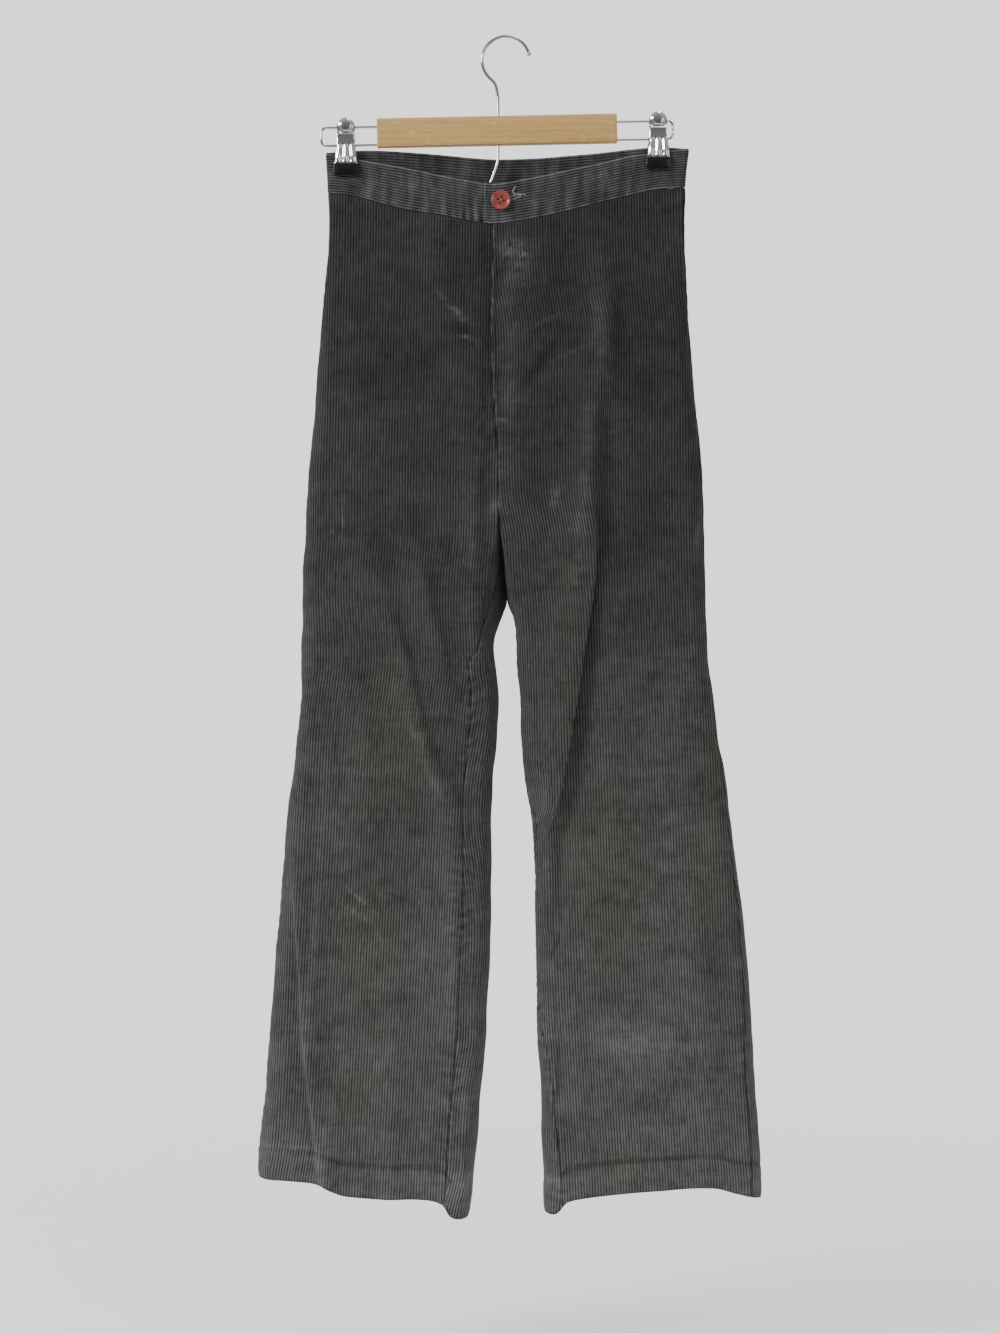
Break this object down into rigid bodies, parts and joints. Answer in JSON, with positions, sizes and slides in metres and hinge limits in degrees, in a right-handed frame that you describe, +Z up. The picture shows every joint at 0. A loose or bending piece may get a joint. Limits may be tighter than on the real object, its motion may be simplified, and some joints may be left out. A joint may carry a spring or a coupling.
{
  "type": "flared trousers on a clip hanger",
  "caption": "Charcoal corduroy flared trousers with a high waistband, buttoned fly overlap and wide hems, hanging flat from a wooden bar hanger with sliding wire-loop clips and a hook.",
  "frame": {"origin": "the point under the hook's bend that bears on a rail or nail", "axes": "+X to the viewer's right facing the front, +Y away from the viewer, +Z up along the hanging length"},
  "size_m": [0.5011, 0.0688, 1.1803],
  "materials": {
    "corduroy": "ribbed cotton pile, worn and brushed",
    "button_plastic": "satin, slightly mottled red",
    "thread": "twisted sewing thread",
    "tape": "woven tape",
    "zip_metal": "dulled",
    "wood": "varnished, knocked at the edges",
    "chromed_wire": "bright",
    "vinyl": "smooth dip coating"
  },
  "bodies": {
    "root": {"front_left": "corduroy", "front_right": "corduroy", "back_left": "corduroy", "back_right": "corduroy", "hem_left": "corduroy", "hem_right": "corduroy", "waistband": "corduroy", "button": "button_plastic", "button_thread": "thread", "zip_tape": "tape", "zip_chain": "zip_metal", "zip_slider": "zip_metal", "hanger_bar": "wood", "hook": "chromed_wire", "wire_left": "chromed_wire", "wire_right": "chromed_wire", "clip_left_front": "chromed_wire", "clip_left_back": "chromed_wire", "clip_left_spring": "chromed_wire", "clip_left_tip_front": "vinyl", "clip_left_tip_back": "vinyl", "clip_right_front": "chromed_wire", "clip_right_back": "chromed_wire", "clip_right_spring": "chromed_wire", "clip_right_tip_front": "vinyl", "clip_right_tip_back": "vinyl"}
  },
  "joints": []
}
